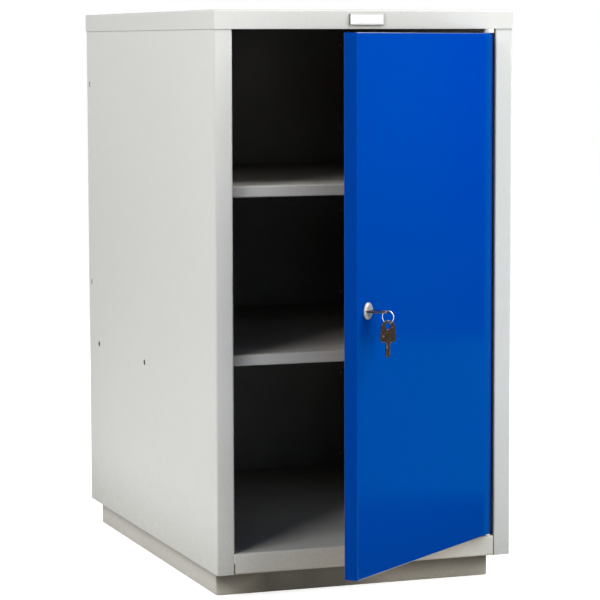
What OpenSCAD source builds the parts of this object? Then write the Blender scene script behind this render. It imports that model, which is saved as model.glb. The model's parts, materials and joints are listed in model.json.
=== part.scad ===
// Pedestal cupboard for a workbench: folded sheet carcass on a recessed plinth,
// two shelves, one pin-hinged door with a cam lock, two keys and a key ring.
// Millimetres. X runs across, Y from the front (-Y) to the back, Z up from the floor.

/* [Carcass] */
// Width over the top cap
cap_w = 455; // [400:1:560]
// Depth over the top cap
cap_d = 680; // [640:1:800]
// Height from the floor to the top of the cap
cab_h = 836; // [826:1:960]
// Thickness of the folded sheet
sheet = 1.0; // [0.8:0.1:1.2]
// Height of the cap's skirt
cap_skirt = 27; // [26:1:32]
// Gap between the skirt and the carcass
cap_fit = 0.2; // [0.1:0.05:0.4]
// Outside radius of the cap's folded edges
cap_bend = 2.5; // [2:0.25:3]
// Radius of the cap's welded corners
cap_corner = 2; // [1:0.25:2.5]
// Outside radius of the carcass folds
bend_r = 2.5; // [2:0.25:3.5]
// Width of each front post
post_w = 26.4; // [24:0.1:34]
// Depth of the front posts
post_depth = 21; // [20.5:0.5:24]
// Length of the lip behind each post
post_lip = 12; // [9:0.5:16]
// Width of the side panels' rear flanges
rear_flange = 20; // [16:1:24]
// Width of the side panels' top flanges
top_flange = 15; // [10:1:25]
// Width of the side panels' bottom flanges
bottom_flange = 30; // [27:1:36]
// Depth of the back panel's flanges
back_flange = 31; // [24:1:31]

/* [Side fixing holes] */
// Diameter of the fixing holes in the side panels
side_hole_d = 9; // [6:0.5:11]
// Height of the lower pair of holes
low_pair_z = 302.5; // [290:0.5:320]
// Distance of the lower pair's centre behind the middle
low_pair_y = 149.5; // [140:0.5:156]
// Spacing of the lower pair
low_pair_gap = 261; // [200:1:270]
// Distance of the rear pair behind the middle
rear_pair_y = 320; // [312:0.5:322]
// Height of the rear pair's centre
rear_pair_z = 562; // [540:1:590]
// Spacing of the rear pair
rear_pair_gap = 322; // [250:1:360]

/* [Top fixing holes] */
// Diameter of the bench top's fixing holes
top_hole_d = 9; // [6:0.5:11]
// Spacing of the fixing holes across the cap
top_gap_x = 300; // [200:1:340]
// Spacing of the fixing holes along the cap
top_gap_y = 500; // [400:1:560]

/* [Plinth] */
// Height of the plinth
plinth_h = 39; // [34:1:60]
// Plinth's inset at the sides
plinth_in_side = 14.4; // [10:0.1:18]
// Plinth's inset at the front
plinth_in_front = 48.6; // [40:0.1:70]
// Plinth's inset at the back
plinth_in_back = 12.8; // [8:0.1:30]
// Thickness of the plinth's sheet
plinth_t = 1.5; // [1.2:0.1:2]
// Width of the plinth's top flange
plinth_top = 25; // [22:1:35]
// Width of the plinth's foot flange
plinth_foot = 20; // [15:1:35]
// Radius of the plinth's corners
plinth_r = 4; // [2.5:0.5:8]

/* [Floor and shelves] */
// Height of the apron in front of the floor panel
apron_h = 30; // [26:1:40]
// Depth of the apron's bottom return
apron_return = 20; // [12:1:30]
// Height of the lower shelf's top above the floor
lower_shelf_z = 350; // [335:1:380]
// Height of the upper shelf's top above the floor
upper_shelf_z = 589; // [560:1:620]
// Height of the shelves' folded edges
shelf_edge = 16; // [14:1:20]
// Width of the returns under the shelves' front and rear edges
shelf_return = 12; // [8:1:16]
// Outside radius of the shelves' folds
shelf_bend = 2; // [1.5:0.25:3]
// Thickness of the shelf bearers
bearer_t = 1.5; // [1.2:0.1:2]
// Width of the bearers' level leg
bearer_w = 20; // [14:1:25]
// Length of the bearers
bearer_len = 600; // [500:1:604]
// Height of the front rail under the cap
rail_h = 24; // [22:0.5:24.5]
// Depth of the front rail
rail_d = 25; // [18:1:28]
// Height of the upturned lip behind the front rail
rail_lip = 8; // [6:1:10]

/* [Stiffeners] */
// Width of a stiffener's crown
hat_w = 40; // [30:1:60]
// Width of a stiffener's flanges
hat_flange = 12; // [8:1:16]
// Depth of the stiffeners
hat_h = 11; // [8:0.5:12]

/* [Door] */
// Angle at which the door stands open
door_open = 39; // [30:1:60]
// Thickness of the door over its folds
door_t = 20.8; // [17.5:0.1:20.9]
// Gap between the shut door and the hinge-side post
hinge_gap = 3.9; // [3.4:0.1:5]
// Gap between the shut door and the lock-side post
free_gap = 2.9; // [2.5:0.1:4]
// Gap between the door and the cap
door_top_gap = 6; // [4:0.5:7]
// Outside radius of the door's folds
door_bend = 1.5; // [1.3:0.1:2.5]
// Width of the lips inside the door's edges
door_lip = 12; // [9:0.5:12.5]

/* [Hinges] */
// Distance of the hinge axis from the door's edge and from its face
axis_in = 4.5; // [4.5:0.1:4.8]
// Radius of the pins' journals
journal_r = 2.0; // [1.75:0.05:2.05]
// Radial clearance of the journals in their bushes
journal_fit = 0.05; // [0.03:0.01:0.08]
// Length of the pins' welded shanks
shank_len = 30; // [20:1:40]
// Radius of the upper bush's collar
upper_collar_r = 7.25; // [4.5:0.25:7.75]
// Radius of the lower bush's collar
lower_collar_r = 4.3; // [3.5:0.1:4.5]
// Height of the lower bush's collar, on which the door rests
lower_collar_h = 2; // [1.5:0.5:4]
// Radius of the bushes' sleeves
sleeve_r = 2.8; // [2.6:0.05:2.9]
// Thickness of the hinge plates
hinge_plate_t = 3; // [2.5:0.5:4]

/* [Lock] */
// Distance of the lock's axis from the door's free edge
lock_in = 28; // [26:0.5:32]
// Height of the lock's axis above the floor
lock_z = 433; // [420:1:500]
// Radius of the lock's rosette
rosette_r = 11.5; // [11:0.25:13]
// Height of the rosette
rosette_h = 3.2; // [2.5:0.1:4]
// Radius of the lock's barrel
barrel_r = 9.5; // [9:0.25:10]
// Width of the barrel over its flats
barrel_flats = 16; // [15:0.5:17]
// Depth of the barrel behind the door's face
barrel_depth = 21; // [21:0.1:21.3]
// Radius of the plug
plug_r = 6; // [5.5:0.25:6.25]
// Thickness of the cam
cam_t = 2.5; // [2:0.25:3]
// Reach of the cam from the lock's axis
cam_len = 42; // [36:1:46]
// Width of the cam's arm
cam_w = 13; // [10:0.5:14]

/* [Keys] */
// Thickness of the keys
key_t = 2; // [1.6:0.1:2.2]
// Width of the key's blade
blade_w = 7; // [6:0.25:7.5]
// Length of the key's blade
blade_len = 20.5; // [16:0.5:20.5]
// Width of the key's bow
bow_w = 23.5; // [22:0.5:25]
// Length of the key's bow
bow_len = 29; // [27:0.5:32]
// Radius of the hole in the bow
bow_hole_r = 4.5; // [4.5:0.1:5]
// Width of the rim outside the bow's hole
bow_rim = 3; // [2.5:0.1:3.2]
// Depths of the five cuts in the first key's blade
key_cuts = [1.4, 2.0, 1.0, 1.8, 1.2];
// Depths of the five cuts in the spare key's blade
spare_cuts = [1.8, 1.0, 1.6, 1.2, 2.0];
// Mean radius of the key ring
ring_r = 8.5; // [8.5:0.25:10]
// Radius of the key ring's wire
wire_r = 0.7; // [0.5:0.05:0.8]
// Turn of the spare key on the ring
spare_turn = 30; // [10:1:35]

/* [Fasteners] */
// Radius of the back panel's rivets
rivet_r = 1.6; // [1.2:0.1:2]
// Number of rivets on each side
rivet_count = 6; // [4:1:9]
// Distance of the outermost rivets from the ends of the carcass
rivet_end = 50; // [45:1:70]
// Radius of the bolts that hold the plinth
plinth_bolt_r = 3; // [2.5:0.5:3]
// Spacing of the plinth's bolts along each side
plinth_bolt_gap = 258; // [150:1:265]
// Distance of the plinth's bolts inside its wall
plinth_bolt_in = 8; // [7.5:0.5:9]
// Radius of the hinge plate's screws
hinge_screw_r = 2; // [1.5:0.25:2]
// Height of the hinge plate's screws above the cap's edge
hinge_screw_up = 14; // [9:1:16]
// Radius of the door buffers
buffer_r = 5; // [3:0.5:6]
// Distance of the door buffers from the cupboard's middle
buffer_x = 14; // [6:1:20]

/* [Name plate] */
// Width of the name plate
plate_w = 52; // [40:1:70]
// Height of the name plate
plate_h = 16; // [10:1:20]
// Thickness of the name plate
plate_t = 2; // [1:0.1:3]
// Width of the name plate's raised border
plate_border = 1.2; // [0.8:0.1:2]

/* [Hidden] */
$fn = 96;

shell_grey = [0.80, 0.81, 0.80];
door_blue = [0.00, 0.26, 0.62];
zinc = [0.72, 0.73, 0.74];
nylon = [0.93, 0.93, 0.90];
black_rubber = [0.08, 0.08, 0.08];

// small clearances shared by the sheet parts
nest = 0.1;        // between two folded parts laid one in the other
slip = 0.2;        // between a loose part and its neighbour
seam = 0.4;        // beside the apron and between the shelves and their bearers
cut = 1;           // how far a cutter runs past the surface it cuts

// carcass
body_w = cap_w - 2 * (sheet + cap_fit);
body_d = cap_d - 2 * (sheet + cap_fit);
front = -body_d / 2;
back = body_d / 2;
wall_out = body_w / 2;
wall_in = wall_out - sheet;
open_x = wall_out - post_w;
body_top = cab_h - sheet;
cap_edge = cab_h - cap_skirt;
floor_z = plinth_h + apron_h;
rail_y = front + post_depth;
back_face = back - sheet;
panel_face = back_face - sheet;
inner_half = wall_in - nest - sheet - slip;

// fasteners of the back panel and the plinth
rivet_x = wall_out - rear_flange / 2;
rivet_tail = 1.5 * rivet_r;
rivet_z0 = plinth_h + rivet_end;
rivet_step = (body_top - plinth_h - 2 * rivet_end) / (rivet_count - 1);
plinth_mid = (plinth_in_front - plinth_in_back) / 2;
plinth_bolt_x = wall_out - plinth_in_side - plinth_bolt_in;
plinth_bolt_y = [for (k = [-1:1]) plinth_mid + k * plinth_bolt_gap];
bolt_play = 0.1;

// shelves and bearers
shelf_half = wall_in - bearer_t - seam;
shelf_front = rail_y + slip;
shelf_back = panel_face - rivet_tail - seam;
shelf_len = shelf_back - shelf_front;

// door and hinges, in the shut door's own frame about the hinge axis
door_w = 2 * open_x - hinge_gap - free_gap;
pivot_x = open_x - hinge_gap - axis_in;
pivot_y = front + axis_in;
door_z0 = floor_z + lower_collar_h;
door_z1 = cap_edge - door_top_gap;
door_h = door_z1 - door_z0;
skin_in = sheet - axis_in;
shank_r = axis_in - sheet - journal_fit;
seat_r = journal_r + 0.8;
seat_h = 0.8;
collar_play = 0.3;
hole_fit = 0.05;
hinge_reach = 18;
hinge_screw_z = cap_edge + hinge_screw_up;
hinge_screw_x = [pivot_x - 12, pivot_x + 2];

// buffers between the shelves' front edges and the shut door's stiffener
buffer_z = [upper_shelf_z - shelf_edge / 2, lower_shelf_z - shelf_edge / 2];
buffer_stem = 1.5;
buffer_barb = 1;
door_hat_h = hat_h + 2;
buffer_t = shelf_front - pivot_y - skin_in - door_hat_h - nest;

// lock, in a frame on the door's face with Z outwards and Y up
lock_x = axis_in - door_w + lock_in;
plug_fit = 0.05;
plug_head_r = plug_r + 1;
plug_head_z = 1.5;
plug_face = rosette_h + nest;
cam_z = -barrel_depth - 0.15;
tail = 7;
tail_fit = 0.05;
nut_t = 4;
nut_af = 24;
slot_depth = blade_len + 0.6;
slot_w = blade_w + 0.4;
slot_h = key_t + 0.3;
m5_r = 2.5;
screw_len = 4.5;
washer_r = 6;
washer_t = 1;

// keys and ring: the ring hangs over the rim of the bow's hole
hole_at = bow_len - bow_rim - bow_hole_r;
key_play = 0.15;
ring_in = ring_r - wire_r;
ring_out_z = plug_face + hole_at + bow_hole_r + bow_rim / 2;
ring_y = key_t / 2 + key_play - sqrt(pow(ring_in, 2) - pow(bow_rim / 2, 2));
spare_play = 0.25;
spare_hole_y = ring_y - ring_r + wire_r + spare_play - bow_hole_r;

// flat shapes

module rounded_rect(w, d, r) {
  translate([r, 0]) square([w - 2 * r, d]);
  translate([0, r]) square([w, d - 2 * r]);
  for (x = [r, w - r], y = [r, d - r]) translate([x, y]) circle(r);
}

// closed strip of sheet of thickness t round a rectangle, with folded corners
module strip_ring(w, d, r, t) {
  difference() {
    rounded_rect(w, d, r);
    translate([t, t])
      if (r - t > 0.05) rounded_rect(w - 2 * t, d - 2 * t, r - t);
      else square([w - 2 * t, d - 2 * t]);
  }
}

// cross-section centred on X, from 0 up to h, rounded above and, if low, below
module section(w, h, r, low) {
  translate([-w / 2, 0]) {
    rounded_rect(w, h, r);
    if (!low) square([w, h / 2]);
  }
}

module hat_section(crown, height, flange, t) {
  translate([-crown / 2 - flange + t, 0]) square([flange, t]);
  translate([crown / 2 - t, 0]) square([flange, t]);
  for (x = [-crown / 2, crown / 2 - t]) translate([x, 0]) square([t, height]);
  translate([-crown / 2, height - t]) square([crown, t]);
}

// folded pans: level top at z = h, walls down to z = 0

module pan_block(w, d, h, r, low_w, low_d) {
  intersection() {
    rotate([90, 0, 0]) linear_extrude(d, center = true) section(w, h, r, low_w);
    rotate([90, 0, 90]) linear_extrude(w, center = true) section(d, h, r, low_d);
  }
}

module pan(w, d, h, t, r, lip_w = 0, lip_d = 0) {
  low_w = lip_w > 0;
  low_d = lip_d > 0;
  lipped = low_w || low_d;
  difference() {
    pan_block(w, d, h, r, low_w, low_d);
    translate([0, 0, lipped ? t : -cut])
      pan_block(w - 2 * t, d - 2 * t, lipped ? h - 2 * t : h - t + cut, r - t, low_w, low_d);
    if (lipped)
      translate([-w / 2 + max(lip_w, t), -d / 2 + max(lip_d, t), -cut])
        cube([w - 2 * max(lip_w, t), d - 2 * max(lip_d, t), cut + h / 2]);
  }
}

// round things

module hole_z(r, z0, z1) {
  translate([0, 0, z0]) cylinder(h = z1 - z0, r = r);
}

module hexagon(af, h) {
  cylinder(h = h, r = af / sqrt(3), $fn = 6);
}

// screw along -Z with its head on z = 0, and a nut under the grip if it has one
module screw(r, head_af, head_h, len, grip = 0) {
  hexagon(head_af, head_h);
  hole_z(r, -len, 0);
  if (grip > 0) translate([0, 0, -grip - head_h]) hexagon(head_af, head_h);
}

// places on the carcass, the door and the lock

module both_sides() {
  children();
  mirror([1, 0, 0]) children();
}

module on_door() {
  translate([pivot_x, pivot_y, 0]) rotate([0, 0, door_open]) children();
}

module on_lock() {
  on_door() translate([lock_x, -axis_in, lock_z]) rotate([90, 0, 0]) children();
}

module at_pivot() {
  translate([pivot_x, pivot_y, 0]) children();
}

// carcass

module top_cap() {
  color(shell_grey)
    difference() {
      intersection() {
        translate([0, 0, cap_edge]) pan(cap_w, cap_d, cap_skirt, sheet, cap_bend);
        translate([-cap_w / 2, -cap_d / 2, cap_edge - cut])
          linear_extrude(cap_skirt + 2 * cut) rounded_rect(cap_w, cap_d, cap_corner);
      }
      for (x = [-top_gap_x / 2, top_gap_x / 2], y = [-top_gap_y / 2, top_gap_y / 2])
        translate([x, y, 0]) hole_z(top_hole_d / 2, body_top - cut, cab_h + cut);
    }
}

// plan of a side panel: x in from the wall's outside, y back from the front
module side_plan() {
  intersection() {
    strip_ring(3 * post_w, body_d, bend_r, sheet);
    union() {
      square([post_w - bend_r, body_d / 2]);
      translate([0, body_d / 2 - cut]) square([rear_flange, body_d / 2 + cut]);
    }
  }
  intersection() {
    strip_ring(post_w, post_depth, bend_r, sheet);
    union() {
      square([post_w, post_depth / 2]);
      translate([post_w - post_lip, 0]) square([post_lip, post_depth]);
    }
  }
}

module side_wall() {
  top_start = post_depth + rail_d + 5;
  top_len = body_d - top_start - sheet - back_flange - cut;
  difference() {
    translate([-wall_out, front, 0]) {
      translate([0, 0, plinth_h]) linear_extrude(body_top - cap_bend - plinth_h) side_plan();
      translate([0, top_start + top_len, body_top]) rotate([90, 0, 0])
        linear_extrude(top_len)
          intersection() {
            mirror([0, 1, 0]) strip_ring(3 * top_flange, 3 * top_flange, bend_r, sheet);
            translate([0, -cap_bend - cut]) square([top_flange, cap_bend + cut]);
          }
      translate([0, post_depth + slip, plinth_h])
        cube([bottom_flange, body_d - post_depth - 8, sheet]);
    }
    for (k = [-0.5, 0.5])
      translate([-wall_out, low_pair_y + k * low_pair_gap, low_pair_z]) rotate([0, 90, 0])
        hole_z(side_hole_d / 2, -cut, sheet + cut);
    for (k = [-0.5, 0.5])
      translate([-wall_out, rear_pair_y, rear_pair_z + k * rear_pair_gap]) rotate([0, 90, 0])
        hole_z(side_hole_d / 2, -cut, sheet + cut);
    for (k = [0:rivet_count - 1])
      translate([-rivet_x, back, rivet_z0 + k * rivet_step]) rotate([90, 0, 0])
        hole_z(rivet_r + hole_fit, -cut, sheet + cut);
    for (y = plinth_bolt_y)
      translate([-plinth_bolt_x, y, plinth_h]) hole_z(plinth_bolt_r + bolt_play, -cut, sheet + cut);
  }
}

module left_side_panel() {
  color(shell_grey) side_wall();
}

module right_side_panel() {
  color(shell_grey) mirror([1, 0, 0]) side_wall();
}

module back_panel() {
  z0 = plinth_h + 2 * sheet;
  tall = body_top - z0;
  extra = 60;
  color(shell_grey)
    difference() {
      translate([0, back_face - back_flange, body_top - (tall + extra) / 2])
        rotate([-90, 0, 0])
          pan(2 * (wall_in - nest), tall + extra, back_flange, sheet, bend_r);
      translate([-cap_w / 2, 0, z0 - extra - cut]) cube([cap_w, back + cut, extra + cut]);
      both_sides()
        for (k = [0:rivet_count - 1])
          translate([-rivet_x, back_face, rivet_z0 + k * rivet_step]) rotate([90, 0, 0])
            hole_z(rivet_r + hole_fit, -cut, sheet + cut);
    }
}

module back_rivets() {
  head_r = 2 * rivet_r;
  head_h = min(1.1, cap_fit + sheet - hole_fit);
  color(zinc)
    both_sides()
      for (k = [0:rivet_count - 1])
        translate([-rivet_x, back, rivet_z0 + k * rivet_step]) rotate([-90, 0, 0])
          rotate_extrude()
            polygon([[0, -2 * sheet - rivet_tail], [rivet_tail / 2, -2 * sheet - rivet_tail],
                     [rivet_tail, -2 * sheet - rivet_tail / 2], [rivet_tail, -2 * sheet],
                     [rivet_r, -2 * sheet], [rivet_r, 0], [head_r, 0],
                     [0.8 * head_r, 0.7 * head_h], [0.4 * head_r, head_h], [0, head_h]]);
}

module floor_panel() {
  tongue = open_x - seam;
  y0 = rail_y + slip;
  len = panel_face - (bend_r - sheet) - y0;
  deep = apron_h - sheet;
  color(shell_grey)
    difference() {
      union() {
        difference() {
          translate([0, y0 + len / 2, plinth_h + sheet])
            pan(2 * inner_half, len, deep, sheet, bend_r);
          translate([-tongue, y0 - cut, plinth_h])
            cube([2 * tongue, cut + bend_r, apron_h - sheet]);
        }
        translate([-tongue, front, plinth_h]) rotate([90, 0, 90])
          linear_extrude(2 * tongue)
            intersection() {
              strip_ring(3 * post_depth, apron_h, bend_r, sheet);
              union() {
                square([apron_return, apron_h]);
                translate([0, apron_h - sheet]) square([post_depth + 2 * bend_r, sheet]);
              }
            }
      }
      at_pivot() hole_z(sleeve_r + hole_fit, floor_z - sheet - 2 * bend_r, floor_z + cut);
    }
}

module plinth_frame() {
  w = 2 * (wall_out - plinth_in_side);
  d = body_d - plinth_in_front - plinth_in_back;
  color(shell_grey)
    difference() {
      translate([-w / 2, front + plinth_in_front, 0]) {
        linear_extrude(plinth_h) strip_ring(w, d, plinth_r, plinth_t);
        linear_extrude(plinth_t) strip_ring(w, d, plinth_r, plinth_foot);
        translate([0, 0, plinth_h - plinth_t])
          linear_extrude(plinth_t) strip_ring(w, d, plinth_r, plinth_top);
      }
      both_sides()
        for (y = plinth_bolt_y)
          translate([-plinth_bolt_x, y, plinth_h])
            hole_z(plinth_bolt_r + bolt_play, -plinth_t - cut, cut);
    }
}

module plinth_screws() {
  grip = plinth_t + sheet;
  head_h = 1.5 * plinth_bolt_r;
  color(zinc)
    both_sides()
      for (y = plinth_bolt_y)
        translate([-plinth_bolt_x, y, plinth_h + sheet])
          screw(plinth_bolt_r, 10 * plinth_bolt_r / 3, head_h, grip + head_h + 2, grip);
}

module top_front_rail() {
  color(shell_grey)
    difference() {
      translate([-wall_in + seam, rail_y, body_top - rail_h]) rotate([90, 0, 90])
        linear_extrude(2 * (wall_in - seam))
          intersection() {
            strip_ring(rail_d, rail_h, bend_r, sheet);
            union() {
              square([rail_d - bend_r, rail_h]);
              square([rail_d, rail_lip]);
            }
          }
      for (x = hinge_screw_x)
        translate([x, rail_y, hinge_screw_z]) rotate([-90, 0, 0])
          hole_z(hinge_screw_r + bolt_play, -cut, sheet + cut);
    }
}

module door_buffers() {
  color(black_rubber)
    for (z = buffer_z)
      translate([buffer_x, shelf_front, z]) rotate([-90, 0, 0])
        rotate_extrude()
          polygon([[0, -buffer_t], [buffer_r - 1.5, -buffer_t], [buffer_r, -buffer_t + 1.5],
                   [buffer_r, 0], [buffer_stem, 0], [buffer_stem, sheet],
                   [buffer_stem + buffer_barb, sheet], [buffer_stem, sheet + 3], [0, sheet + 3]]);
}

module name_plate() {
  color([0.93, 0.93, 0.92])
    translate([-plate_w / 2, -cap_d / 2, cap_edge + (cap_skirt - plate_h) / 2])
      rotate([90, 0, 0])
        difference() {
          linear_extrude(plate_t) rounded_rect(plate_w, plate_h, 1.5);
          translate([plate_border, plate_border, plate_t - 0.25])
            cube([plate_w - 2 * plate_border, plate_h - 2 * plate_border, cut]);
        }
}

// shelves

module shelf(top_z) {
  color(shell_grey)
    difference() {
      translate([0, (shelf_front + shelf_back) / 2, top_z - shelf_edge])
        pan(2 * shelf_half, shelf_len, shelf_edge, sheet, shelf_bend, 0, shelf_return);
      translate([buffer_x, shelf_front, top_z - shelf_edge / 2]) rotate([-90, 0, 0])
        hole_z(buffer_stem + hole_fit, -cut, sheet + cut);
    }
}

module shelf_stiffener(top_z) {
  half = shelf_half - shelf_bend - seam;
  color(shell_grey)
    translate([-half, 0, top_z - sheet]) rotate([-90, 0, 90]) mirror([0, 0, 1])
      linear_extrude(2 * half) hat_section(hat_w, hat_h, hat_flange, sheet);
}

module left_bearer(top_z) {
  z0 = top_z - shelf_edge - bearer_t;
  color(shell_grey)
    translate([-wall_in, bearer_len / 2, z0]) rotate([90, 0, 0])
      linear_extrude(bearer_len)
        intersection() {
          strip_ring(3 * bearer_w, 3 * shelf_edge, bearer_t + seam, bearer_t);
          square([bearer_w, shelf_edge]);
        }
}

module upper_shelf() {
  shelf(upper_shelf_z);
}

module lower_shelf() {
  shelf(lower_shelf_z);
}

module upper_shelf_stiffener() {
  shelf_stiffener(upper_shelf_z);
}

module lower_shelf_stiffener() {
  shelf_stiffener(lower_shelf_z);
}

module upper_left_bearer() {
  left_bearer(upper_shelf_z);
}

module upper_right_bearer() {
  mirror([1, 0, 0]) left_bearer(upper_shelf_z);
}

module lower_left_bearer() {
  left_bearer(lower_shelf_z);
}

module lower_right_bearer() {
  mirror([1, 0, 0]) left_bearer(lower_shelf_z);
}

// hinges: the plates and bushes belong to the carcass, the pins to the door

module top_hinge_plate() {
  x0 = pivot_x - hinge_reach;
  wide = open_x - slip - x0;
  tab = 24;
  color(zinc)
    difference() {
      translate([x0, 0, cap_edge]) {
        translate([0, front + slip, 0]) cube([wide, post_depth - slip, hinge_plate_t]);
        translate([0, rail_y - hinge_plate_t, 0])
          cube([wide, hinge_plate_t, min(tab, cap_skirt - 2 * sheet)]);
      }
      at_pivot() hole_z(sleeve_r + hole_fit, cap_edge - cut, cap_edge + hinge_plate_t + cut);
      for (x = hinge_screw_x)
        translate([x, rail_y, hinge_screw_z]) rotate([90, 0, 0])
          hole_z(hinge_screw_r + bolt_play, -cut, hinge_plate_t + cut);
    }
}

module hinge_plate_screws() {
  grip = hinge_plate_t + sheet;
  head_h = 1.5 * hinge_screw_r;
  color(zinc)
    for (x = hinge_screw_x)
      translate([x, rail_y - hinge_plate_t, hinge_screw_z]) rotate([90, 0, 0])
        screw(hinge_screw_r, 3.5 * hinge_screw_r, head_h, grip + head_h + 2, grip);
}

module top_hinge_bush() {
  color(nylon)
    at_pivot()
      difference() {
        union() {
          hole_z(upper_collar_r, door_z1 + collar_play, cap_edge);
          hole_z(sleeve_r, cap_edge, cap_edge + hinge_plate_t);
        }
        hole_z(journal_r + journal_fit, door_z1, cap_edge + hinge_plate_t + cut);
      }
}

module bottom_hinge_plate() {
  x0 = pivot_x - hinge_reach;
  wide = open_x - seam - slip - x0;
  y0 = front + sheet + nest;
  slope = bend_r - sheet;
  z1 = floor_z - sheet;
  z0 = z1 - hinge_plate_t;
  deep = 38;
  color(zinc)
    difference() {
      translate([x0, 0, 0]) rotate([90, 0, 90]) linear_extrude(wide)
        polygon([[y0, z0], [y0 + deep, z0], [y0 + deep, z1], [y0 + slope, z1], [y0, z1 - slope]]);
      at_pivot() hole_z(sleeve_r + hole_fit, z0 - cut, z1 + cut);
    }
}

module bottom_hinge_bush() {
  color(nylon)
    at_pivot()
      difference() {
        union() {
          hole_z(lower_collar_r, floor_z, door_z0);
          hole_z(sleeve_r, floor_z - sheet - hinge_plate_t, floor_z);
        }
        hole_z(journal_r + journal_fit, 0, door_z0 + cut);
      }
}

// pin with its journal down to -reach and its welded shank above z = 0
module hinge_pin(reach) {
  edge = 0.4;
  color(zinc)
    rotate_extrude()
      polygon([[0, -reach], [journal_r - edge, -reach], [journal_r, -reach + edge],
               [journal_r, 0], [seat_r, 0], [seat_r, seat_h], [shank_r, seat_h],
               [shank_r, shank_len - 2 * edge], [shank_r - 2 * edge, shank_len], [0, shank_len]]);
}

module bottom_hinge_pin() {
  on_door() translate([0, 0, door_z0 + sheet])
    hinge_pin(door_z0 + sheet - floor_z + sheet + hinge_plate_t + 2);
}

module top_hinge_pin() {
  on_door() translate([0, 0, door_z1 - sheet]) mirror([0, 0, 1])
    hinge_pin(cap_edge + hinge_plate_t + 2 - door_z1 + sheet);
}

// door

module door_skin() {
  color(door_blue)
    on_door()
      difference() {
        translate([axis_in - door_w / 2, door_t - axis_in, (door_z0 + door_z1) / 2])
          rotate([90, 0, 0]) pan(door_w, door_h, door_t, sheet, door_bend, door_lip, door_lip);
        hole_z(journal_r + 2 * hole_fit, door_z0 - cut, door_z1 + cut);
        translate([lock_x, -axis_in, lock_z]) rotate([90, 0, 0])
          intersection() {
            hole_z(barrel_r + 2 * hole_fit, -sheet - cut, cut);
            cube([2 * barrel_r + cut, barrel_flats + 4 * hole_fit, 6 * sheet], center = true);
          }
      }
}

module door_stiffener() {
  inset = door_lip + 8;
  color(door_blue)
    on_door() translate([axis_in - door_w / 2, skin_in, door_z0 + inset])
      linear_extrude(door_h - 2 * inset)
        hat_section(1.5 * hat_w, door_hat_h, 1.5 * hat_flange, sheet);
}

// lock

module lock_housing() {
  color([0.80, 0.78, 0.72])
    on_lock()
      difference() {
        union() {
          rotate_extrude()
            polygon([[0, 0], [rosette_r, 0], [rosette_r, 0.9], [rosette_r - 0.4, 1.3],
                     [plug_head_r + 1.6, rosette_h - 0.1], [plug_head_r + 1.2, rosette_h],
                     [0, rosette_h]]);
          intersection() {
            hole_z(barrel_r, -barrel_depth, 0);
            translate([-barrel_r, -barrel_flats / 2, -barrel_depth])
              cube([2 * barrel_r, barrel_flats, barrel_depth]);
          }
        }
        hole_z(plug_r + plug_fit, -barrel_depth - cut, rosette_h + cut);
        hole_z(plug_head_r + plug_fit, plug_head_z, rosette_h + cut);
      }
}

module lock_nut() {
  color(zinc)
    on_lock()
      translate([0, 0, -sheet - nut_t])
        difference() {
          hexagon(nut_af, nut_t);
          hole_z(barrel_r + hole_fit, -cut, nut_t + cut);
        }
}

module lock_plug() {
  color([0.83, 0.76, 0.55])
    on_lock()
      difference() {
        union() {
          hole_z(plug_r, cam_z, plug_face);
          hole_z(plug_head_r, plug_head_z, plug_face);
          translate([-tail / 2, -tail / 2, cam_z - cam_t + nest])
            cube([tail, tail, cam_t - nest + cut]);
        }
        translate([-slot_w / 2, -slot_h / 2, plug_face - slot_depth])
          cube([slot_w, slot_h, slot_depth + cut]);
        hole_z(m5_r, cam_z - cam_t - cut, cam_z - cam_t + screw_len + 0.5);
      }
}

module lock_cam() {
  hub_r = 8;
  color(zinc)
    on_lock()
      translate([0, 0, cam_z - cam_t])
        difference() {
          union() {
            cylinder(h = cam_t, r = hub_r);
            translate([-cam_w / 2, 0, 0]) cube([cam_w, cam_len - cam_w / 2, cam_t]);
            translate([0, cam_len - cam_w / 2, 0]) cylinder(h = cam_t, r = cam_w / 2);
          }
          translate([-tail / 2 - tail_fit, -tail / 2 - tail_fit, -cut])
            cube([tail + 2 * tail_fit, tail + 2 * tail_fit, cam_t + 2 * cut]);
        }
}

module cam_washer() {
  color(zinc)
    on_lock() translate([0, 0, cam_z - cam_t - washer_t])
      difference() {
        cylinder(h = washer_t, r = washer_r);
        hole_z(m5_r + 2 * hole_fit, -cut, washer_t + cut);
      }
}

module cam_screw() {
  color(zinc)
    on_lock() translate([0, 0, cam_z - cam_t - washer_t]) mirror([0, 0, 1])
      screw(m5_r - hole_fit, 8, 3.5, washer_t + screw_len);
}

// keys: the bow stands on the shoulder line y = 0 and the blade hangs below it

module bow_plan() {
  top_r = bow_w / 2 - 1;
  mid = bow_len - top_r;
  low = 9;
  difference() {
    union() {
      translate([-bow_w / 2, 0]) rounded_rect(bow_w, low + 5, 3.5);
      translate([0, mid]) circle(top_r);
      polygon([[-bow_w / 2, low], [bow_w / 2, low], [top_r, mid], [-top_r, mid]]);
    }
    translate([0, hole_at]) circle(bow_hole_r);
  }
}

module blade_plan(cuts) {
  half = blade_w / 2;
  step = (blade_len - 5) / len(cuts);
  difference() {
    polygon([[-half, bow_rim], [half, bow_rim], [half, 1.5 - blade_len],
             [half - 2, -blade_len], [2 - half, -blade_len], [-half, 1.5 - blade_len]]);
    for (k = [0:len(cuts) - 1])
      translate([half, -3 - (k + 0.5) * step])
        polygon([[0.5, -1.4], [0.5, 1.4], [-cuts[k], 0.5], [-cuts[k], -0.5]]);
  }
}

module key_blank(cuts) {
  translate([0, 0, -key_t / 2]) {
    linear_extrude(key_t) bow_plan();
    linear_extrude(key_t) blade_plan(cuts);
  }
}

module key() {
  color([0.70, 0.70, 0.68])
    on_lock() translate([0, 0, plug_face]) rotate([90, 0, 0]) key_blank(key_cuts);
}

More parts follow.
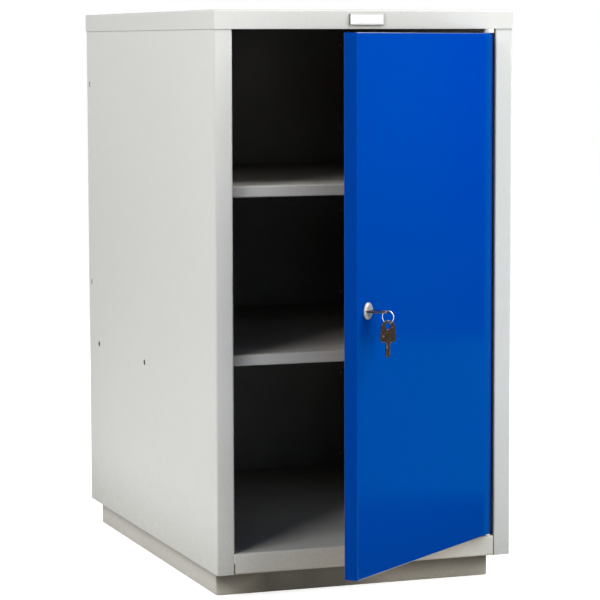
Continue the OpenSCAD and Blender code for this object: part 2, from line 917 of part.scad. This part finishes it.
module key_ring() {
  color([0.85, 0.86, 0.88])
    on_lock() translate([0, ring_y, ring_out_z]) rotate([0, 90, 0])
      rotate_extrude() translate([ring_r, 0]) circle(wire_r, $fn = 32);
}

module spare_key() {
  color([0.30, 0.30, 0.32])
    on_lock() translate([0, spare_hole_y - hole_at, ring_out_z]) rotate([0, -spare_turn, 0])
      key_blank(spare_cuts);
}

top_cap();
left_side_panel();
right_side_panel();
back_panel();
back_rivets();
floor_panel();
plinth_frame();
plinth_screws();
top_front_rail();
upper_shelf();
lower_shelf();
upper_shelf_stiffener();
lower_shelf_stiffener();
upper_left_bearer();
upper_right_bearer();
lower_left_bearer();
lower_right_bearer();
top_hinge_plate();
hinge_plate_screws();
top_hinge_bush();
bottom_hinge_plate();
bottom_hinge_bush();
door_buffers();
name_plate();
door_skin();
door_stiffener();
top_hinge_pin();
bottom_hinge_pin();
lock_housing();
lock_nut();
lock_plug();
lock_cam();
cam_washer();
cam_screw();
key();
key_ring();
spare_key();
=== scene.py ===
"""Looks of the pedestal cupboard: camera, studio, materials and the small formed pieces.

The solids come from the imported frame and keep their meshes. Lengths are in metres.
"""
import json
import math

import bmesh
import bpy
from mathutils import Matrix, Vector

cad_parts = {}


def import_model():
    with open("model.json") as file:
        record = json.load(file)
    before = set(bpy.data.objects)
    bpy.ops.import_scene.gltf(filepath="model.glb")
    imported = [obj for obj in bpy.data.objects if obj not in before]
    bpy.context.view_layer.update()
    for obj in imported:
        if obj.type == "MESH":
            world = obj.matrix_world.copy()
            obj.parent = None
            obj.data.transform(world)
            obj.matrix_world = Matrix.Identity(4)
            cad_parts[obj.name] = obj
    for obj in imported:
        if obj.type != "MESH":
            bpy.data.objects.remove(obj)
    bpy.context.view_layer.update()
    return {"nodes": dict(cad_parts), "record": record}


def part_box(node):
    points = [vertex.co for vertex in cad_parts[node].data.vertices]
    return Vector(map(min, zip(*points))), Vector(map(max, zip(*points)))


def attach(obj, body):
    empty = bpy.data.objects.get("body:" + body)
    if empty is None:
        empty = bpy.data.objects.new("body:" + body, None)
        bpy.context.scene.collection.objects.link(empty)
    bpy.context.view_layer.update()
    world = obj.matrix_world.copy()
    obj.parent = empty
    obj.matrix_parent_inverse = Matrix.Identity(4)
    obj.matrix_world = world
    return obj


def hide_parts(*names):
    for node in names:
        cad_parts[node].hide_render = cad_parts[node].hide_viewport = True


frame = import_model()
NODES = frame["nodes"]
scene = bpy.context.scene
scene.view_settings.view_transform = "Standard"

# sizes shared with the solids
DOOR_OPEN = math.radians(39)
POST_W = 0.0264
RING_R = 0.0085
PLATE_BORDER = 0.0012

# the lock's directions: its third axis points out of the open door
LOCK_TURN = Matrix.Rotation(DOOR_OPEN, 3, "Z") @ Matrix.Rotation(math.pi / 2, 3, "X")


# node building
class Graph:
    """A node tree, with short calls for the nodes used here."""

    def __init__(self, tree):
        self.tree = tree

    def put(self, socket, value):
        if isinstance(value, bpy.types.NodeSocket):
            self.tree.links.new(value, socket)
        else:
            socket.default_value = value

    def node(self, kind, inputs=None, **props):
        n = self.tree.nodes.new(kind)
        for key, value in props.items():
            setattr(n, key, value)
        for key, value in (inputs or {}).items():
            self.put(n.inputs[key], value)
        return n

    def place(self):
        return self.node("ShaderNodeTexCoord").outputs["Object"]

    def axes(self, at):
        return self.node("ShaderNodeSeparateXYZ", {"Vector": at}).outputs

    def remap(self, value, a, b, c, d, **props):
        """Value a becomes c and b becomes d, and nothing goes past them."""
        return self.node("ShaderNodeMapRange", {"Value": value, "From Min": a, "From Max": b,
                                                "To Min": c, "To Max": d}, **props).outputs[0]

    def math(self, op, a, b):
        return self.node("ShaderNodeMath", {0: a, 1: b}, operation=op).outputs[0]

    def mix(self, fac, a, b):
        """Colour a where fac is 0 and colour b where it is 1."""
        sides = (c if isinstance(c, bpy.types.NodeSocket) else (*c, 1.0) for c in (a, b))
        inputs = dict(zip(("Factor", 6, 7), (fac, *sides)))
        return self.node("ShaderNodeMix", inputs, data_type="RGBA").outputs[2]

    def blend(self, value, a, b, low, high):
        """From colour low at value a to colour high at value b, softly."""
        return self.mix(self.remap(value, a, b, 0.0, 1.0, interpolation_type="SMOOTHSTEP"), low, high)

    def seen_rays(self):
        """1 for the rays that show the background: camera, glossy and transmission rays."""
        path = self.node("ShaderNodeLightPath").outputs
        glossy_too = self.math("MAXIMUM", path["Is Camera Ray"], path["Is Glossy Ray"])
        return self.math("MAXIMUM", glossy_too, path["Is Transmission Ray"])

    def finish(self, kind, surface):
        self.node(kind, {"Surface": surface})


class Shader(Graph):
    """A material of the object: one Principled node and what feeds it."""

    def __init__(self, name):
        self.mat = bpy.data.materials.new(name)
        self.mat.use_nodes = True
        super().__init__(self.mat.node_tree)
        self.bsdf = self.tree.nodes["Principled BSDF"]
        self.here = self.place()

    def set(self, **values):
        for key, value in values.items():
            self.put(self.bsdf.inputs[key.replace("_", " ")], value)

    def base(self):
        return self.bsdf.inputs["Base Color"].links[0].from_socket

    def noise(self, scale, detail=2.0, rough=0.5, at=None):
        return self.node("ShaderNodeTexNoise", {"Vector": at or self.here, "Scale": scale,
                                                "Detail": detail, "Roughness": rough}).outputs["Fac"]

    def cloud(self, noise, low, high):
        """A noise spread over low to high."""
        return self.remap(noise, 0.3, 0.7, low, high)

    def stretched(self, factors):
        return self.node("ShaderNodeMapping", {"Vector": self.here, "Scale": factors}).outputs[0]

    def bump(self, height, distance, strength, normal):
        inputs = {"Height": height, "Distance": distance, "Strength": strength, "Normal": normal}
        return self.node("ShaderNodeBump", inputs).outputs["Normal"]

    def soft_edge(self, radius):
        return self.node("ShaderNodeBevel", {"Radius": radius}, samples=4).outputs["Normal"]

    def edge_mask(self, radius, reach=0.35):
        """1 on worn outer edges, 0 on the flats"""
        true = self.node("ShaderNodeNewGeometry").outputs["Normal"]
        dot = self.node("ShaderNodeVectorMath", {0: self.soft_edge(radius), 1: true},
                        operation="DOT_PRODUCT").outputs["Value"]
        return self.remap(dot, 1.0, 1.0 - reach, 0.0, 1.0)

    def openness(self, distance, shut, free):
        """0 where less than the share shut of the space within the distance is free, 1 above free."""
        ao = self.node("ShaderNodeAmbientOcclusion", {"Distance": distance}, samples=4)
        return self.remap(ao.outputs["AO"], shut, free, 0.0, 1.0)


def times(colour, factor):
    """A colour times a number, or times a colour."""
    factors = factor if isinstance(factor, tuple) else (factor,) * 3
    return tuple(min(1.0, c * k) for c, k in zip(colour, factors))


# materials
GREY = (0.685, 0.69, 0.655)
BLUE = (0.0, 0.052, 0.34)
WHITE = (1.0, 1.0, 1.0)
PLATE_GREY = (0.62, 0.63, 0.63)
PLATE_SHADE = (0.07, 0.07, 0.075)
CAP_DUST_AND_SHADE = (0.345, 0.34, 0.315)
# painted shade: how dark the paint is made in corners and creases
CORNER_SHADE = 0.82
KEY_STAINS = ((0.055, 0.04, 0.035), (0.04, 0.045, 0.035))
SPARE_STAINS = ((0.036, 0.018, 0.016), (0.018, 0.024, 0.015))

# painted shade deep inside the cupboard: how dark the paint is made there, at mid height and above, and
# near the floor
INNER_SHADE = (0.36, 0.30, 0.22)
LOW_SHADE = (0.17, 0.135, 0.095)
LOW_Z, MID_Z = 0.1, 0.55
# painted shade: how dark the plinth's front is made under the apron and over its left part
PLINTH_SHADE = (0.12, 0.105, 0.085)

# how far the painted shade of a corner reaches, how far the painted shade of the inside reaches, and how
# round edges look
CORNER_REACH = 0.012
INSIDE_REACH = 0.30
PAINT_EDGE = 0.0007
WORN_EDGE = 0.0006
FINE_EDGE = 0.0003

# depths of the orange peel, of drawn lines in metal and of the skin of plastics
PEEL_DEPTH = 0.00022
LINE_DEPTH = 0.00003
SKIN_DEPTH = 0.00006


def painted(name, colour, rough, peel, mottle, level, gloss_tint=WHITE, low_tone=INNER_SHADE,
            ior=1.5):
    """Powder coat: orange peel, faint mottling and soft edges, with painted shade in corners and deep
    inside.
    """
    s = Shader(name)
    deep = times(colour, 1.0 - mottle)
    pale = times(colour, 1.0 + mottle)
    base = s.mix(s.remap(s.noise(520.0, 2.0, 0.6), 0.35, 0.65, 0.0, 1.0), deep, pale)
    base = s.mix(s.cloud(s.noise(4.0, 3.0), 0.0, 0.5), base, deep)
    # painted shade: darker in corners and creases, where the ambient occlusion closes in
    corner_shaded = s.mix(s.openness(CORNER_REACH, 0.35, 1.0), times(colour, CORNER_SHADE), base)
    # painted shade deep inside: darker where little of the space around is open, and, with a low shade
    # given, darker still near the floor
    height = s.axes(s.here)["Z"]
    inner = s.mix(s.remap(height, LOW_Z, MID_Z, 0.0, 1.0),
                  times(colour, low_tone), times(colour, INNER_SHADE))
    grain = s.math("MULTIPLY", s.noise(1500.0, 1.0), 0.12)
    skin = s.math("ADD", s.noise(peel, 1.5, 0.4), grain)
    peeled = s.bump(skin, PEEL_DEPTH, 0.5, s.soft_edge(PAINT_EDGE))
    s.set(Base_Color=s.mix(s.openness(INSIDE_REACH, 0.25, 0.7), inner, corner_shaded),
          Roughness=s.cloud(s.noise(60.0, 4.0), rough - 0.04, rough + 0.05), Normal=peeled,
          IOR=ior, Specular_IOR_Level=level, Specular_Tint=(*gloss_tint, 1.0))
    return s


def carcass(name, level=0.3, **more):
    """The grey powder coat of the carcass."""
    return painted(name, GREY, 0.42, 330.0, 0.025, level, **more)


def metal(name, colour, rough, streak=0.08, dark=None, cloud_scale=70.0, metallic=1.0):
    """Plated steel: fine drawn streaks, cloudy tone and, if asked, dark stains off the edges."""
    s = Shader(name)
    lines = s.noise(900.0, 2.0, 0.6, s.stretched((1.0, 1.0, 0.12)))
    cloud = s.noise(cloud_scale, 4.0)
    tone = s.mix(s.cloud(cloud, 0.0, 1.0), times(colour, 0.86), colour)
    if dark is not None:
        stain = s.mix(s.remap(s.noise(170.0, 2.0), 0.42, 0.58, 0.0, 1.0), *dark)
        bare = s.math("MAXIMUM", s.edge_mask(WORN_EDGE), s.remap(cloud, 0.58, 0.75, 0.0, 0.5))
        tone = s.mix(bare, stain, tone)
    s.set(Base_Color=tone, Metallic=metallic,
          Roughness=s.cloud(lines, rough - streak, rough + streak),
          Normal=s.bump(lines, LINE_DEPTH, 0.6, s.soft_edge(FINE_EDGE)))
    return s


def plastic(name, colour, rough, peel=700.0):
    """Nylon, rubber, lacquer or enamel: a cloudy tone and a fine skin."""
    s = Shader(name)
    fine = s.noise(peel, 3.0)
    s.set(Base_Color=s.mix(s.cloud(s.noise(40.0, 3.0), 0.0, 1.0), times(colour, 0.9), colour),
          Roughness=s.cloud(fine, rough - 0.06, rough + 0.06),
          Normal=s.bump(fine, SKIN_DEPTH, 0.5, s.soft_edge(FINE_EDGE)))
    return s


def cap_paint():
    """The carcass paint under a film of dust and painted shade on the level top, with wiped streaks in it.
    """
    s = carcass("cap_paint", 0.15)
    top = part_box("top_cap")[1].z
    level = s.remap(s.axes(s.here)["Z"], top - 0.0006, top - 0.0001, 0.0, 1.0)
    film = s.cloud(s.noise(5.0, 4.0, 0.6), 0.82, 1.0)
    wiped = s.remap(s.noise(30.0, 3.0, 0.6, s.stretched((1.0, 0.12, 1.0))), 0.45, 0.75, 1.0, 0.93)
    # dust that also paints shade on the level top, which the lamps light strongly
    dust_and_shade = s.math("MULTIPLY", level, s.math("MULTIPLY", film, wiped))
    s.set(Base_Color=s.mix(dust_and_shade, s.base(), CAP_DUST_AND_SHADE), Roughness=s.remap(dust_and_shade, 0.0, 1.0, 0.44, 0.9))
    return s


def plinth_paint():
    """The carcass paint with painted shade on the front: under the apron's overhang and over the left part.
    """
    s = carcass("plinth_paint")
    lo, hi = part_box("plinth_frame")
    shaded_to, unshaded_from = -0.02, 0.06
    at = s.axes(s.here)
    # painted shade under the apron's overhang, and a painted shadow over the left part of the front
    front = s.remap(at["Y"], lo.y + 0.001, lo.y + 0.005, 1.0, 0.0)
    past_corner = s.remap(at["X"], lo.x + 0.025, lo.x + 0.075, 0.0, 0.95)
    left_part = s.remap(at["X"], shaded_to, unshaded_from, 1.0, 0.1)
    under = s.remap(at["Z"], 0.006, hi.z - 0.009, 0.0, 0.95)
    spread = s.math("MAXIMUM", under, s.math("MULTIPLY", past_corner, left_part))
    cloud = s.cloud(s.noise(18.0, 3.0), 0.85, 1.0)
    painted_shade = s.math("MULTIPLY", spread, s.math("MULTIPLY", front, cloud))
    s.set(Base_Color=s.mix(painted_shade, s.base(), times(GREY, PLINTH_SHADE)))
    return s


def plate_border():
    """Pale lacquer, with painted shade along the left and the lower edge."""
    s = plastic("plate_border", PLATE_GREY, 0.3)
    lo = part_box("name_plate")[0]
    at = s.axes(s.here)
    # painted shade along the plate's left side and lower edge, where its raised rim casts shadow
    left = s.remap(at["X"], lo.x + 0.0006, lo.x + 0.0016, 1.0, 0.0)
    low = s.remap(at["Z"], lo.z + 0.0004, lo.z + 0.0012, 0.7, 0.0)
    cloud = s.remap(s.noise(300.0, 3.0), 0.2, 0.6, 0.7, 1.0)
    shaded_edges = s.math("MULTIPLY", s.math("MAXIMUM", left, low), cloud)
    s.set(Base_Color=s.mix(shaded_edges, PLATE_GREY, PLATE_SHADE))
    return s


LOOKS = {
    "carcass_paint": carcass("carcass_paint"),
    "door_paint": painted("door_paint", BLUE, 0.08, 240.0, 0.02, 1.0, (0.0, 0.5, 1.0), ior=1.2),
    "zinc_plate": metal("zinc_plate", (0.62, 0.63, 0.64), 0.30),
    "nickel": metal("nickel", (0.50, 0.47, 0.42), 0.40, metallic=0.3),
    "plug_brass": metal("plug_brass", (0.62, 0.54, 0.40), 0.34, 0.06, metallic=0.4),
    "key_nickel": metal("key_nickel", (0.45, 0.42, 0.36), 0.28, 0.08, KEY_STAINS, 260.0),
    "key_dark": metal("key_dark", (0.34, 0.32, 0.25), 0.30, 0.10, SPARE_STAINS, 260.0),
    "ring_steel": metal("ring_steel", (0.66, 0.70, 0.78), 0.12, 0.04),
    "white_nylon": plastic("white_nylon", (0.86, 0.86, 0.82), 0.35),
    "black_rubber": plastic("black_rubber", (0.025, 0.025, 0.025), 0.6),
    "plate_white": plate_border(),
}
for entry in frame["record"]["subparts"]:
    NODES[entry["node"]].data.materials.clear()
    NODES[entry["node"]].data.materials.append(LOOKS[entry["material_slot"]].mat)
NODES["top_cap"].data.materials[0] = cap_paint().mat
NODES["plinth_frame"].data.materials[0] = plinth_paint().mat
# the inside walls get painted shade that grows darker towards the floor
wall_paint = carcass("wall_paint", low_tone=LOW_SHADE)
for name in ("left_side_panel", "right_side_panel", "back_panel"):
    NODES[name].data.materials[0] = wall_paint.mat


# formed pieces
def mesh_object(name, bm):
    mesh = bpy.data.meshes.new(name)
    bm.to_mesh(mesh)
    bm.free()
    o = bpy.data.objects.new(name, mesh)
    scene.collection.objects.link(o)
    return o


def piece(name, bm, look, body):
    """A smooth piece of the object, which moves with the body."""
    bm.normal_update()
    o = mesh_object(name, bm)
    for p in o.data.polygons:
        p.use_smooth = True
    o.data.materials.append(look.mat)
    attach(o, body)
    return o


def swept(points, radius, sides=14):
    """Round wire along a list of points, a little thinner at its two ends."""
    bm = bmesh.new()
    rings = []
    count = len(points)
    side = None
    for i, p in enumerate(points):
        ahead = (points[min(i + 1, count - 1)] - points[max(i - 1, 0)]).normalized()
        if side is None:
            side = ahead.orthogonal().normalized()
        side = (side - ahead * side.dot(ahead)).normalized()
        up = ahead.cross(side)
        r = radius * (0.75 if i in (0, count - 1) else 1.0)
        rings.append([bm.verts.new(p + (side * math.cos(a) + up * math.sin(a)) * r)
                      for a in (2 * math.pi * k / sides for k in range(sides))])
    for a, b in zip(rings, rings[1:]):
        for k in range(sides):
            bm.faces.new((a[k], a[(k + 1) % sides], b[(k + 1) % sides], b[k]))
    bm.faces.new(rings[0][::-1])
    bm.faces.new(rings[-1])
    return bm


def split_ring():
    """Two close turns of wire that lie side by side, with one step from the first to the second."""
    lo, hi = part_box("key_ring")
    centre = (lo + hi) / 2
    turns, count, wire = 1.94, 150, 0.00036
    start, pitch, steepness = math.radians(200), 2 * wire * 0.93, 16
    points = []
    for i in range(count + 1):
        t = i / count
        a = start + t * turns * 2 * math.pi
        aside = pitch / 2 * math.tanh((t - 0.5) * steepness)
        local = Vector((aside, RING_R * math.cos(a), RING_R * math.sin(a)))
        points.append(centre + LOCK_TURN @ local)
    ring = piece("split_ring", swept(points, wire), LOOKS["ring_steel"], "ring")
    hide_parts("key_ring")


def plate_field():
    """White enamel laid in the name plate's recess, with a slightly crowned face."""
    lo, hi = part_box("name_plate")
    clearance, below_rim, crown = 0.0001, 0.00004, 0.00018
    w, h = (hi.x - lo.x) / 2 - PLATE_BORDER - clearance, (hi.z - lo.z) / 2 - PLATE_BORDER - clearance
    mid = Vector(((lo.x + hi.x) / 2, lo.y, (lo.z + hi.z) / 2))
    bm = bmesh.new()
    nx, nz = 24, 8
    grid = []
    for i in range(nx + 1):
        row = []
        for k in range(nz + 1):
            u, v = 2 * i / nx - 1, 2 * k / nz - 1
            depth = below_rim + crown * max(abs(u), abs(v)) ** 12
            row.append(bm.verts.new(mid + Vector((u * w, depth, v * h))))
        grid.append(row)
    for i in range(nx):
        for k in range(nz):
            bm.faces.new((grid[i][k], grid[i + 1][k], grid[i + 1][k + 1], grid[i][k + 1]))
    look = plastic("enamel", (0.80, 0.81, 0.80), 0.22, 260.0)
    field = piece("plate_field", bm, look, "cabinet")


split_ring()
plate_field()


# studio
FLOOR_R = 14.0
FLOOR_SIDES = 64
FLOOR_SHOWN = 0.75
FLOOR_BOUNCE = 0.5
# a painted glow: a patch of floor round GLOW_AT glows for all but the rays that show the background,
# lighting the cupboard's lower parts though it is no lamp
FLOOR_GLOW = 0.55
GLOW_AT = (-0.06, -0.12, 0.0)
GLOW_FULL, GLOW_END = 0.38, 0.65
ROOM_LIGHT = 0.0

# tones of the painted reflections: cards that show only in reflections
CARD_TOP, CARD_TOP_RIGHT = (0.0, 0.22, 1.9), (0.0, 0.03, 1.7)
CARD_MID, CARD_MID_RIGHT = (0.0, 0.10, 0.55), (0.0, 0.03, 0.5)
CARD_FOOT = (0.0, 0.38, 0.64)
CARD_ENDS = (0.0, 0.35, 0.50)
CARD_FLOOR = (0.0, 0.01, 0.02)
CARD_POST = (0.0, 0.5, 0.75)

# the cards stand a hair above the floor and before the post
HAIR = 0.001
POST_HAIR = 0.0003


def sheet(name, corners):
    """A flat sheet of the studio, and its empty node tree."""
    bm = bmesh.new()
    bm.faces.new([bm.verts.new(c) for c in corners])
    o = mesh_object(name, bm)
    mat = bpy.data.materials.new(name)
    mat.use_nodes = True
    mat.node_tree.nodes.clear()
    o.data.materials.append(mat)
    return o, Graph(mat.node_tree)


def backdrop():
    """White where it is seen, with the cupboard's shadow on it; darker as a source of light, but for a
    glowing patch near the cupboard that lights its lower parts.
    """
    g = sheet("floor", [(FLOOR_R * math.cos(a), FLOOR_R * math.sin(a), 0.0)
                        for a in (2 * math.pi * k / FLOOR_SIDES for k in range(FLOOR_SIDES))])[1]
    here = g.place()

    def lit_and_glowing(albedo, strength):
        diffuse = g.node("ShaderNodeBsdfDiffuse", {"Color": (albedo, albedo, albedo, 1.0)}).outputs[0]
        glow = g.node("ShaderNodeEmission", {"Strength": strength}).outputs[0]
        return g.node("ShaderNodeAddShader", {0: diffuse, 1: glow}).outputs[0]

    away = g.node("ShaderNodeVectorMath", {0: here}, operation="LENGTH").outputs["Value"]
    shown = lit_and_glowing(FLOOR_SHOWN, g.remap(away, 0.6, 1.6, 0.80, 1.0))
    near = g.node("ShaderNodeVectorMath", {0: here, 1: GLOW_AT}, operation="DISTANCE").outputs["Value"]
    hidden = lit_and_glowing(FLOOR_BOUNCE, g.remap(near, GLOW_FULL, GLOW_END, FLOOR_GLOW, 0.0))
    surface = g.node("ShaderNodeMixShader", {0: g.seen_rays(), 1: hidden, 2: shown}).outputs[0]
    g.finish("ShaderNodeOutputMaterial", surface)


def reflected_only(card, g, tone):
    """Give a card its tone, and hide it from all but reflections."""
    colour = (*tone, 1.0) if isinstance(tone, tuple) else tone
    g.finish("ShaderNodeOutputMaterial", g.node("ShaderNodeEmission", {"Color": colour}).outputs[0])
    card.visible_camera = card.visible_diffuse = card.visible_shadow = False
    card.visible_transmission = False


def upright(name, a, b, z0, z1, tone):
    """A plain card that stands on the line from a to b, seen only in reflections: a painted reflection."""
    reflected_only(*sheet(name, [(*a, z0), (*b, z0), (*b, z1), (*a, z1)]), tone)


def lying(name, x0, x1, y0, y1):
    """A dark card that lies on the floor, seen only in reflections: a painted reflection."""
    corners = [(x0, y0, HAIR), (x0, y1, HAIR), (x1, y1, HAIR), (x1, y0, HAIR)]
    reflected_only(*sheet(name, corners), CARD_FLOOR)


def side_screen():
    """A painted reflection: a deep blue card on the right, paler along its foot, which shows only where the
    open door mirrors it.
    """
    x, front_end, rear_end, top = 0.9, -1.05, 1.0, 0.95
    near_y, split_y, rear_y = -0.56, -0.27, 0.0
    foot_x, foot_top, high = 0.22, 0.28, 0.8
    card, g = sheet("side_screen", [(x, front_end, 0), (x, rear_end, 0), (x, rear_end, top),
                                    (x, front_end, top)])
    at = g.axes(g.place())

    def step(value, centre, half, before, after):
        """From one tone to the next, within the half width on either side of the centre."""
        return g.blend(value, centre - half, centre + half, before, after)

    left = g.blend(at["Z"], foot_top, high, CARD_MID, CARD_TOP)
    right = g.blend(at["Z"], foot_top, high, CARD_MID_RIGHT, CARD_TOP_RIGHT)
    upper = step(at["Y"], split_y, 0.06, left, right)
    middle = step(at["Z"], foot_top, 0.01, CARD_FOOT, upper)
    ahead = step(at["Y"], near_y, 0.03, CARD_ENDS, middle)
    reflected_only(card, g, step(at["Y"], rear_y, 0.08, ahead, CARD_ENDS))
    lying("screen_foot", foot_x, x, near_y, rear_end)


def left_cards():
    """Painted reflections: dark cards at the front left, which show only where the door's free edge and the
    keys mirror them.
    """
    x, inner, y0, y1 = -0.95, -0.2, -0.95, -0.55
    upright("left_card", (x, y0), (x, y1), 0.0, 1.0, CARD_FLOOR)
    lying("left_foot", x, inner, y0, y1)


def post_card():
    """A painted reflection: a blue card just before the right post, which shows only where the door mirrors
    it along its hinge side.
    """
    lo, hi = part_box("right_side_panel")
    y = lo.y - POST_HAIR
    upright("post_card", (hi.x - POST_W, y), (hi.x, y), lo.z, hi.z, CARD_POST)


def world():
    """White where it is seen, and no light from all round."""
    w = bpy.data.worlds.new("studio")
    scene.world = w
    w.use_nodes = True
    w.node_tree.nodes.clear()
    g = Graph(w.node_tree)
    room, white = (g.node("ShaderNodeBackground", {"Color": (*WHITE, 1.0), "Strength": strength}).outputs[0]
                   for strength in (ROOM_LIGHT, 1.0))
    surface = g.node("ShaderNodeMixShader", {0: g.seen_rays(), 1: room, 2: white}).outputs[0]
    g.finish("ShaderNodeOutputWorld", surface)


# the lamps: where each stands, its side and its power in watts
AIM = Vector((0.0, -0.2, 0.45))
LAMPS = {
    "left_rear_box": ((-1.7, 0.99, 1.65), 0.9, 15),
    "left_high_box": ((-1.44, -0.59, 2.58), 0.9, 5),
    "left_front_box": ((-1.71, -1.4, 1.42), 0.9, 27),
    "front_box": ((0.64, -2.59, 0.8), 0.7, 14),
    "right_front_box": ((1.0, -1.92, 1.6), 0.8, 6.5),
    "right_box": ((2.59, -2.37, 1.68), 1.2, 21.5),
    "right_high_box": ((1.28, -0.94, 2.21), 0.8, 38),
    "rear_box": ((0.7, 2.7, 1.7), 1.6, 45),
}


def softbox(name, at, side, watts):
    """A square lamp that faces the cupboard."""
    data = bpy.data.lights.new(name, "AREA")
    data.shape = "SQUARE"
    data.size = side
    data.energy = watts
    o = bpy.data.objects.new(name, data)
    scene.collection.objects.link(o)
    o.location = at
    o.rotation_mode = "QUATERNION"
    o.rotation_quaternion = (AIM - Vector(at)).to_track_quat("-Z", "Y")


backdrop()
side_screen()
left_cards()
post_card()
world()
for lamp, setting in LAMPS.items():
    softbox(lamp, *setting)

# the camera, solved from the cupboard's corners in the photo; angles in radians
CAMERA_AT = (-1.325991, -3.742009, 0.788366)
YAW, PITCH, ROLL = 0.345557, 0.099511, -0.002906
PHOTO_W = 600.0
FOCAL_PX = 2566.63
SENSOR_MM = 36.0


def camera():
    """Looks from the front left, a little downwards."""
    ahead = Vector((math.sin(YAW) * math.cos(PITCH), math.cos(YAW) * math.cos(PITCH), -math.sin(PITCH)))
    level = Vector((math.cos(YAW), -math.sin(YAW), 0.0))
    above = level.cross(ahead)
    right = level * math.cos(ROLL) + above * math.sin(ROLL)
    up = above * math.cos(ROLL) - level * math.sin(ROLL)
    data = bpy.data.cameras.new("camera")
    data.sensor_width = SENSOR_MM
    data.lens = FOCAL_PX * SENSOR_MM / PHOTO_W
    data.clip_end = 100.0
    o = bpy.data.objects.new("camera", data)
    scene.collection.objects.link(o)
    turn = Matrix((right, up, -ahead)).transposed().to_4x4()
    o.matrix_world = Matrix.Translation(CAMERA_AT) @ turn
    scene.camera = o


camera()
